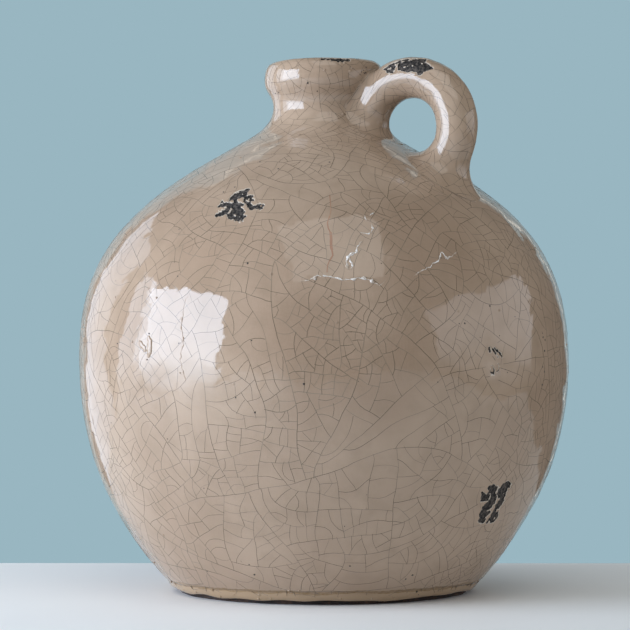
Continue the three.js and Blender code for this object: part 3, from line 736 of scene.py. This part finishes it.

# Painted glints: the same glass as the glaze, with near white painted in patches along the thinnest ridges and most at
# their middles, as painted highlights where light glints on them.
painted_glint, shader = new_material("glaze_with_painted_glints")
place = node(painted_glint, "TexCoord", {}, "Object")
glint_patches = node(painted_glint, "TexNoise", {"Vector": place, "Scale": 1 / (1.2 * MM), "Detail": 2.0})
share = node(painted_glint, "MapRange", {"Value": glint_patches, "From Min": 0.35, "From Max": 0.6})
most = node(painted_glint, "Attribute", {}, "Fac", attribute_name="painted_glint")
share = node(painted_glint, "Math", {0: share, 1: most}, operation="MULTIPLY")
# The near white mixed in here is a painted glint: patches of painted highlight along each thin ridge.
tone = node(painted_glint, "Mix", {0: share, 6: linear("#ab9783"), 7: linear("#f3f0ed")}, 2, data_type="RGBA")
plug(painted_glint, shader, {"Base Color": tone, "Roughness": 0.05, "IOR": 1.52})
white = ridges[:THIN_RIDGES]
painted_glint_ridges = grid_piece("ridges_with_painted_glints", white, closed_rows=False)
# How strongly each ring carries the painted glint: most at a ridge's middle, none at its ends.
painted_glint_reach = [np.repeat(np.sin(np.linspace(0, np.pi, len(rings))), rings.shape[1]) for rings in white]
mark(painted_glint_ridges, "painted_glint", np.concatenate(painted_glint_reach), 0.0)
dress(painted_glint_ridges, painted_glint)


# Blisters: pin-head bubbles of glaze that rose and froze before they burst, scattered all over. They glint. Some sit
# where a glint shows from the front, and a few more on the bead at the foot, where the glaze ran thick.
SCATTERED, AT_FOOT = 170, 24
random = np.random.default_rng(43)
blister_angle = random.uniform(-np.pi, np.pi, SCATTERED)
blister_along = np.interp(random.uniform(size=SCATTERED), np.cumsum(RADIUS) / RADIUS.sum(), ALONG)
blister_size = random.uniform(0.3, 0.75, SCATTERED)
GLINTS = np.array([
    (-54.6, 379.5, 0.6), (-38.0, 379.5, 0.7), (-57.0, 365.4, 0.5), (-45.0, 364.0, 0.5), (-59.1, 408.5, 0.7),
    (-34.0, 408.3, 0.9), (-31.8, 410.2, 0.5), (-104.7, 328.0, 0.7), (-90.2, 322.3, 0.5), (-88.0, 332.1, 0.5),
    (-103.1, 5.5, 1.1), (-100.4, 1.8, 0.9), (-83.8, 1.8, 0.9), (-83.1, 4.1, 0.7), (-71.9, 8.3, 1.0), (-68.4, 8.8, 0.6),
    (-52.1, 6.9, 0.8), (-54.0, 2.6, 0.7), (-42.7, 2.2, 0.7), (-32.0, 7.9, 0.6), (-33.0, 16.0, 0.6),
])
blister_angle = np.concatenate([blister_angle, np.radians(GLINTS[:, 0]), random.uniform(-np.pi, np.pi, AT_FOOT)])
blister_along = np.concatenate([blister_along, GLINTS[:, 1], random.uniform(2.0, 9.0, AT_FOOT)])
blister_size = np.concatenate([blister_size, GLINTS[:, 2], random.uniform(0.3, 0.8, AT_FOOT)])


def spokes(normals, sides=10):
    """A ring of spokes one long, square to each normal."""
    level = unit(np.cross([0, 0, 1.0], normals))
    turn = np.linspace(0, 2 * np.pi, sides, endpoint=False)[:, None]
    return np.cos(turn) * level[:, None] + np.sin(turn) * np.cross(normals, level)[:, None]


def domes(angle, along, size):
    """Rings of a low dome at each place: circles that shrink as they rise, from just below the skin to the crown."""
    points, normals = body_skin(angle, along)
    rise = np.linspace(-0.2, 0.48 * np.pi, 5)[None, :, None, None]
    reach = np.cos(rise) * spokes(normals)[:, None] + 0.7 * np.sin(rise) * normals[:, None, None]
    return points[:, None, None] + size[:, None, None, None] * reach


blisters = grid_piece("glaze_blisters", list(domes(blister_angle, blister_along, blister_size)), closed_rows=False)
coat(blisters)


# Pinholes: black dots where gas bubbles burst through the glaze to the engobe. The larger ones sit where they show,
# the finest are scattered, and one cluster lies on the lip beside the handle.
PINHOLES = (
    (-66.5, 394.4), (-75.4, 400.2), (-122.0, 394.5), (-115.0, 394.9), (-78.4, 311.1), (-57.4, 319.0), (-89.5, 320.8),
    (-102.1, 181.6), (-93.4, 175.9), (-102.4, 165.7), (-95.9, 217.5), (-77.9, 225.4), (-75.0, 134.5), (-113.1, 175.3),
    (-79.3, 143.4), (-27.4, 187.9), (-28.9, 187.7), (-19.5, 198.8), (-0.7, 181.8), (-0.6, 179.2), (0.3, 177.6),
    (-0.3, 170.7), (-1.3, 160.6), (-0.4, 157.7), (-1.0, 149.6), (7.5, 239.0), (1.9, 77.5), (4.6, 52.4), (-9.6, 52.7),
    (-91.0, 289.8), (-94.0, 284.8), (-64.2, 151.7), (-25.1, 5.1), (-24.0, 3.1), (-32.5, 17.4), (-30.7, 20.8),
    (-82.1, 22.2), (-82.7, 30.6), (-52.2, 30.7), (-99.6, 22.7), (18.7, 362.9),
)
FINEST, CLUSTERED = 130, 26
random = np.random.default_rng(41)
seen = np.array(PINHOLES)
far_angle = random.uniform(-180, 180, FINEST)
far_along = np.interp(random.uniform(size=FINEST), np.cumsum(RADIUS) / RADIUS.sum(), ALONG)
pin_size = np.append(random.uniform(0.4, 0.7, len(seen)), random.uniform(0.18, 0.42, FINEST))
pin_angle = np.radians(np.concatenate([seen[:, 0], far_angle, random.normal(-15, 3.6, CLUSTERED)]))
pin_along = np.concatenate([seen[:, 1], far_along, random.normal(405.5, 2.2, CLUSTERED)])
pin_size = np.append(pin_size, random.uniform(0.15, 0.5, CLUSTERED))


def pinhole_rings(angle, along, size):
    """Two rings at each pinhole: a small ragged disc just proud of the glaze, and a smaller one sunk below it."""
    points, normals = (part[:, None] for part in body_skin(angle, along))
    disc = -spokes(normals[:, 0])
    disc *= random.uniform(0.75, 1.2, (*disc.shape[:2], 1)) * size[:, None, None]
    return np.stack([points + disc + PROUD * normals, points + 0.4 * disc - 0.6 * normals], 1)


# Bare engobe in a pinhole: near black and dull.
pit_dirt, shader = new_material("engobe_in_pinholes")
place = node(pit_dirt, "TexCoord", {}, "Object")
speck = node(pit_dirt, "TexNoise", {"Vector": place, "Scale": 1 / (0.8 * MM), "Detail": 2.0})
tone = node(pit_dirt, "Mix", {0: speck, 6: linear("#1f1b1a"), 7: linear("#4a3f37")}, 2, data_type="RGBA")
plug(pit_dirt, shader, {"Base Color": tone, "Roughness": 0.5})

pinholes = grid_piece("pinholes", list(pinhole_rings(pin_angle, pin_along, pin_size)), closed_rows=False)
dress(pinholes, pit_dirt)


# Handle glaze: the same coat over a round coil of clay bent into a loop, with wads worked smooth into the neck and
# the shoulder. It is flaked through on top, where hands and other pots rub.
COIL_RADIUS = 13.3
LOOP_RADIUS, LOOP_REACH, LOOP_HEIGHT = 32.4, 66.3, 300.5
LOOP_START, LOOP_END = math.radians(140), math.radians(-27)
NECK_LEAD, SHOULDER_LEAD = 24.0, 32.0
NECK_FILLET, SHOULDER_FILLET = (4.5, 8.0, 19.0), (23.0, 16.0, 18.5)
FILLET_ROWS = 24
NECK_HEART = (15.0, 0.0, 312.0)
ARC = LOOP_RADIUS * (LOOP_START - LOOP_END)
# The chip's strokes as (round the coil from its outside, along the centre line, half width), in mm.
HANDLE_CHIP = [
    [(7.9, 55.9, 1.4), (6.9, 58.8, 1.8), (4.3, 60.7, 0.8)],
    [(9.1, 58.4, 2.4), (12.3, 62.2, 3.9), (16.7, 63.1, 1.8)],
    [(12.6, 65.6, 1.4), (10.9, 67.1, 0.9)],
    [(16.2, 49.9, 1.0), (12.9, 51.3, 2.4), (11.8, 54.2, 2.9), (11.3, 58.6, 2.9)],
    [(16.3, 51.4, 1.4), (16.0, 55.3, 2.2), (15.5, 61.1, 2.1)],
    [(12.8, 41.1, 1.0), (11.8, 43.8, 1.2), (10.9, 46.4, 1.2)],
    [(15.5, 42.4, 0.9), (16.7, 44.4, 1.2), (14.0, 45.8, 0.9)],
    [(10.0, 48.0, 0.8), (7.7, 52.1, 1.0)],
]
HANDLE_ISLANDS = [(13.8, 57.0, 0.7), (15.2, 52.6, 0.6), (10.2, 61.0, 0.5)]


def coil(turn, distance):
    """A point of the plain coil: a circle of the coil's radius, set square on a centre line that runs straight out of
    the neck, round an arc and straight into the shoulder. Also the outward spoke there."""
    on_arc = np.clip(distance - NECK_LEAD, 0, ARC)
    angle = LOOP_START - on_arc / LOOP_RADIUS
    out = np.stack([np.cos(angle), np.zeros_like(angle), np.sin(angle)], -1)
    ahead = np.stack([np.sin(angle), np.zeros_like(angle), -np.cos(angle)], -1)
    centre = np.array([LOOP_REACH, 0, LOOP_HEIGHT]) + LOOP_RADIUS * out
    centre = centre + (distance - NECK_LEAD - on_arc)[..., None] * ahead
    spoke = np.cos(turn)[..., None] * out - np.sin(turn)[..., None] * np.array([0, 1.0, 0])
    return centre + COIL_RADIUS * spoke, spoke


# Distance off the jug's outline round the handle, negative inside, sampled each half millimetre of radius and height.
SAMPLE, LEAST_RADIUS, LEAST_HEIGHT = 0.5, 5.0, 225.0
radii, heights = np.meshgrid(np.arange(LEAST_RADIUS, 130, SAMPLE), np.arange(LEAST_HEIGHT, 390, SAMPLE), indexing="ij")
crest = HEIGHT.argmax()
outer = slice(np.searchsorted(ALONG, 200), crest + 1)
rim_cap = np.arange(0, RADIUS[crest], 0.2)
off_outline = np.full(radii.shape, np.inf)
for radius, height in zip(np.append(RADIUS[outer], rim_cap), np.append(HEIGHT[outer], 0 * rim_cap + RIM_HEIGHT)):
    off_outline = np.minimum(off_outline, np.hypot(radii - radius, heights - height))
off_outline[radii < np.interp(heights, HEIGHT[: crest + 1], RADIUS[: crest + 1], right=0)] *= -1


def sampled(grid, row, column):
    """A grid's values at rows and columns in between its own."""
    low_row, low_column = row.astype(int), column.astype(int)
    row, column = row - low_row, column - low_column
    if grid.ndim == 3:
        row, column = row[:, None], column[:, None]
    near = grid[low_row, low_column] * (1 - column) + grid[low_row, low_column + 1] * column
    far = grid[low_row + 1, low_column] * (1 - column) + grid[low_row + 1, low_column + 1] * column
    return near * (1 - row) + far * row


def off_body(points):
    """How far points lie off the jug's outline, in mm, read from its samples in between."""
    row = (np.hypot(points[..., 0], points[..., 1]) - LEAST_RADIUS) / SAMPLE
    column = (points[..., 2] - LEAST_HEIGHT) / SAMPLE
    return sampled(off_outline, row.clip(0, radii.shape[0] - 1.001), column.clip(0, radii.shape[1] - 1.001))


def worked_in(turn, end, fillet):
    """Rows of points where the coil is worked into the body, from its own skin on, with their distances along it. A
    share t on, the clay has swollen by size t squared off the coil and lies size (1 - t) squared off the body, a
    parabola flat to both, and it dips under the body's skin at last. The three sizes of a fillet are those outside
    the loop, at its sides and inside it."""
    outside, beside, inside = fillet
    facing = np.cos(turn)
    size = beside + (outside - beside) * facing.clip(0) ** 2 + (inside - beside) * facing.clip(max=0) ** 2
    distance = np.linspace((NECK_LEAD + ARC + SHOULDER_LEAD) / 2, end, 260)
    face, spoke = coil(turn[:, None], distance)
    column = np.arange(len(turn))
    rows, reached = [], []
    for t in np.linspace(0, 1, FILLET_ROWS):
        swollen = size * t**2
        gap = off_body(face + swollen[:, None, None] * spoke) - (size * (1 - t) ** 2 - 0.45 * t**4)[:, None]
        first = np.argmax(gap < 0, axis=1).clip(1)
        before, after = gap[column, first - 1], gap[column, first]
        at = distance[first - 1] + (distance[first] - distance[first - 1]) * before / (before - after)
        skin, out = coil(turn, at)
        rows.append(skin + swollen[:, None] * out)
        reached.append(at)
    return np.array(rows), np.array(reached)


def handle_grid(columns=130, coil_rows=190):
    """Rows of points along the handle, off the neck, round the coil and onto the shoulder, with the distance along the
    centre line at each. The first ring is drawn in under the neck's skin, so that the cap on it stays hidden."""
    turn = np.linspace(0, 2 * np.pi, columns, endpoint=False)
    top, leave = worked_in(turn, -8, NECK_FILLET)
    top, leave = np.vstack([top, 0.75 * top[-1:] + 0.25 * np.array(NECK_HEART)]), np.vstack([leave, leave[-1:]])
    root, meet = worked_in(turn, NECK_LEAD + ARC + SHOULDER_LEAD, SHOULDER_FILLET)
    share = np.linspace(0, 1, coil_rows + 2)[1:-1, None]
    distance = leave[0] * (1 - share) + meet[0] * share
    tube = coil(np.broadcast_to(turn, distance.shape), distance)[0]
    return np.vstack([top[::-1], tube, root]), np.vstack([leave[::-1], distance, meet]), turn


def grid_normals(points):
    """Normals of a grid whose columns close into rings."""
    wide = np.concatenate([points[:, -1:], points, points[:, :1]], axis=1)
    return unit(np.cross(np.gradient(wide, axis=1)[:, 1:-1], np.gradient(points, axis=0)))


handle_even, handle_distance, handle_turn = handle_grid()
handle_normals = grid_normals(handle_even)
round_coil = COIL_RADIUS * ((handle_turn + np.pi) % (2 * np.pi) - np.pi)
handle_field = ragged(handle_even, strokes_field(round_coil[None, :], handle_distance, HANDLE_CHIP, HANDLE_ISLANDS))
row_lengths = np.linalg.norm(np.diff(handle_even, axis=0), axis=-1).mean(1)
handle_along = np.append(0, np.cumsum(row_lengths))
ends = smooth_step(handle_along - handle_along[1], 0, 8) * smooth_step(handle_along[-1] - handle_along, 0, 8)
handle_uneven = (0.3 * waves(handle_even, 45, 31) + 0.05 * waves(handle_even, 14, 32)) * ends[:, None]
handle_points = handle_even + (handle_uneven + sunk_in(handle_field))[..., None] * handle_normals
glaze_handle = grid_piece("glaze_on_handle", [handle_points], closed_rows=False)
coat(glaze_handle, handle_field)
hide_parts("glaze_handle")


# Handle wads: the soft clay worked into the corners where the coil meets neck and shoulder, under the glaze. They
# have the glaze's own curve, one coat further in, and are capped where they meet the coil and the wall.
under = handle_even - GLAZE * handle_normals
under[1] = handle_even[0]
for name, rows in (("handle_top_luting", slice(1, FILLET_ROWS + 1)), ("handle_root_luting", slice(-FILLET_ROWS, None))):
    wad = grid_piece(name + "_clay", [under[rows]], closed_rows=False)
    dress(wad, terracotta)
    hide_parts(name)


# Craze on the handle: the same net of cracks in the coat on the coil, rubbed dark with the same stain. Its plates are
# smaller and closer to square than the body's, because the glaze shrank on a tight curve.
def between(grid, angle, along):
    """Values of a grid on the handle at a turn round the coil and a distance along it, in between its points."""
    rows, columns = grid.shape[:2]
    row = np.interp(along, handle_along, np.arange(rows)).clip(0, rows - 1.001)
    column = (angle / (2 * np.pi) * columns % columns).clip(0, columns - 1e-6)
    return sampled(np.concatenate([grid, grid[:, :1]], axis=1), row, column)


def handle_skin(angle, along):
    """Points and normals of the handle's glaze."""
    return between(handle_points, angle, along), unit(between(handle_normals, angle, along))


def off_handle(angle, along):
    """Whether a point of the handle lies in a chip or at its ends."""
    at_end = (along < handle_along[1] + 1) | (along > handle_along[-1] - 1)
    return (between(handle_field, angle, along) > NEAR_CHIP) | at_end


ring = np.linalg.norm(np.diff(handle_even, axis=1, append=handle_even[:, :1]), axis=-1).sum(1) / (2 * np.pi)
handle_radius = np.interp(np.arange(int(handle_along[-1]) + 1), handle_along, ring)
handle_levels = [(clearance, 1.25 * width) for clearance, width in CRAZE_LEVELS[2:]]
handle_lines, _ = craze_lines(handle_radius, handle_levels, seed=9, close_from=0, spacing=0.65)
handle_cracks = stained_cracks("craze_on_handle", handle_lines, handle_skin, off_handle)
dress(handle_cracks, crack_stain)


# Stage: a plain pale board and a plain pale backdrop. A tall softbox at the left and a wide weak one at the right show
# in the glaze, strips from behind draw its edges, and soft fill comes from above and from the left.
VIEW_ANGLE = math.radians(30)
toward = Vector((math.sin(VIEW_ANGLE), -math.cos(VIEW_ANGLE), 0))
rightward = Vector((math.cos(VIEW_ANGLE), math.sin(VIEW_ANGLE), 0))
BOARD_BACK, BOARD_FRONT, BOARD_HALF = -189, 3000, 1000
corners = [(-BOARD_HALF, BOARD_FRONT), (BOARD_HALF, BOARD_FRONT), (BOARD_HALF, BOARD_BACK), (-BOARD_HALF, BOARD_BACK)]
corners = np.array([rightward * x + toward * y for x, y in corners])
board = mesh_piece("board", corners, [(0, 1, 2, 3)], np.zeros((4, 2)), smooth=False)
painted, shader = new_material("pale_painted_board")
place = node(painted, "TexCoord", {}, "Object")
patchy = node(painted, "TexNoise", {"Vector": place, "Scale": 6.0, "Detail": 3.0})
tone = node(painted, "Mix", {0: patchy, 6: linear("#eae8e6"), 7: linear("#f0efed")}, 2, data_type="RGBA")
plug(painted, shader, {"Base Color": tone, "Roughness": 0.6, "Specular IOR Level": 0.2})
board.data.materials.append(painted)

# What the eye and the gloss see is a pale sheet behind the jug, and to reflections dusk beyond the sheet's edges. The
# sheet reaches 25 degrees to each side and half way up. What lights the clay is an even room.
SHEET_TANGENT = 0.466
world = bpy.data.worlds.new("pale_room")
bpy.context.scene.world = world
world.use_nodes = True
room = world.node_tree.nodes["Background"]
plug(world, room, {"Color": linear("#bfccd2"), "Strength": 0.53})
way = node(world, "TexCoord", {}, "Generated")
forward = node(world, "VectorMath", {0: way, 1: toward}, "Value", operation="DOT_PRODUCT")
aside = node(world, "VectorMath", {0: way, 1: rightward}, "Value", operation="DOT_PRODUCT")
aside = node(world, "Math", {0: aside}, operation="ABSOLUTE")
aside = node(world, "Math", {0: forward, 1: SHEET_TANGENT, 2: aside}, operation="MULTIPLY_ADD")
above = node(world, "Math", {0: forward, 1: node(world, "SeparateXYZ", {0: way}, "Z")}, operation="ADD")
outside = node(world, "Math", {0: aside, 1: above}, operation="MAXIMUM")
dusk = node(world, "MapRange", {"Value": outside, "From Min": -0.02, "From Max": 0.02})
camera_ray = node(world, "LightPath", {}, "Is Camera Ray")
glossy_ray = node(world, "LightPath", {}, "Is Glossy Ray")
through_ray = node(world, "LightPath", {}, "Is Transmission Ray")
dusk = node(world, "Math", {0: dusk, 1: camera_ray}, operation="SUBTRACT", use_clamp=True)
seen = node(world, "Mix", {0: dusk, 6: linear("#99b6c1"), 7: linear("#57514c")}, 2, data_type="RGBA")
backdrop = node(world, "Background", {"Color": seen, "Strength": 1.0})
looks = node(world, "Math", {0: camera_ray, 1: glossy_ray}, operation="MAXIMUM")
looks = node(world, "Math", {0: looks, 1: through_ray}, operation="MAXIMUM")
either = node(world, "MixShader", {0: looks, 1: room.outputs[0], 2: backdrop})
plug(world, world.node_tree.nodes["World Output"], {"Surface": either})

AXIS_HEIGHT = 0.1735


def lamp(name, bearing, rise, distance, width, height, radiance, colour, fade=0.0, mirrored=True):
    """A rectangular softbox at a bearing from the camera's side, turned to the jug's middle. Its light can fade out
    over a share of its height, down to its low edge, and it can be kept out of reflections."""
    light = bpy.data.lights.new(name, "AREA")
    light.shape, light.size, light.size_y = "RECTANGLE", width, height
    light.energy, light.color = radiance * math.pi * width * height, linear(colour)[:3]
    if fade:
        light.use_nodes = True
        up = node(light, "SeparateXYZ", {0: node(light, "NewGeometry", {}, "Parametric")}, "Y")
        strength = node(light, "MapRange", {"Value": up, "From Max": fade}, interpolation_type="SMOOTHSTEP")
        plug(light, light.node_tree.nodes["Emission"], {"Strength": strength})
    piece = bpy.data.objects.new(name, light)
    piece.visible_glossy = mirrored
    turn, rise = VIEW_ANGLE + math.radians(bearing), math.radians(rise)
    level = distance * math.cos(rise)
    spot = Vector((level * math.sin(turn), -level * math.cos(turn), AXIS_HEIGHT + distance * math.sin(rise)))
    piece.location = spot
    piece.rotation_euler = (Vector((0, 0, AXIS_HEIGHT)) - spot).to_track_quat("-Z", "Y").to_euler()
    bpy.context.scene.collection.objects.link(piece)


lamp("softbox_left", -67.5, 6, 1.7, 1.19, 1.12, 11.0, "#dcebff", 0.48)
lamp("softbox_left_edge", -89.6, 6, 1.7, 0.16, 1.12, 6.7, "#dcebff", 0.48)
lamp("softbox_left_side", -98.6, 4, 1.7, 0.37, 1.3, 3.1, "#dcebff", 0.5)
lamp("softbox_back_left", -131, 6, 2.0, 1.1, 2.0, 1.45, "#dcebff")
lamp("softbox_right", 80, 8, 2.2, 2.6, 1.25, 1.3, "#f6f7ff", 0.5)
lamp("strip_back_right", 155, 8, 2.0, 0.035, 2.4, 0.9, "#fff0dc")
lamp("strip_back_top", 180, 45.5, 2.2, 1.9, 0.035, 1.1, "#fff0dc")
lamp("softbox_above", 8, 60, 1.9, 1.18, 1.39, 1.42, "#fffaf4")
lamp("fill_high_left", -60, 48, 1.9, 0.9, 0.9, 1.2, "#e6efff", mirrored=False)
lamp("fill_low_left", -62, -2.5, 1.6, 1.2, 0.2, 3.6, "#f2f4ff", mirrored=False)

camera_data = bpy.data.cameras.new("camera")
camera = bpy.data.objects.new("camera", camera_data)
bpy.context.scene.collection.objects.link(camera)
bpy.context.scene.camera = camera
SENSOR, FOCAL_LENGTH_TO_WIDTH, VIEW_DISTANCE, AIM_UP, AIM_LEFT = 36, 2600 / 630, 1.706, 0.00656, 0.00558
camera_data.sensor_width = SENSOR
camera_data.lens = SENSOR * FOCAL_LENGTH_TO_WIDTH
camera.location = toward * VIEW_DISTANCE + Vector((0, 0, AXIS_HEIGHT))
aim = Vector((0, 0, AXIS_HEIGHT + AIM_UP)) - rightward * AIM_LEFT
camera.rotation_euler = (aim - camera.location).to_track_quat("-Z", "Y").to_euler()

bpy.context.scene.view_settings.view_transform = "Standard"
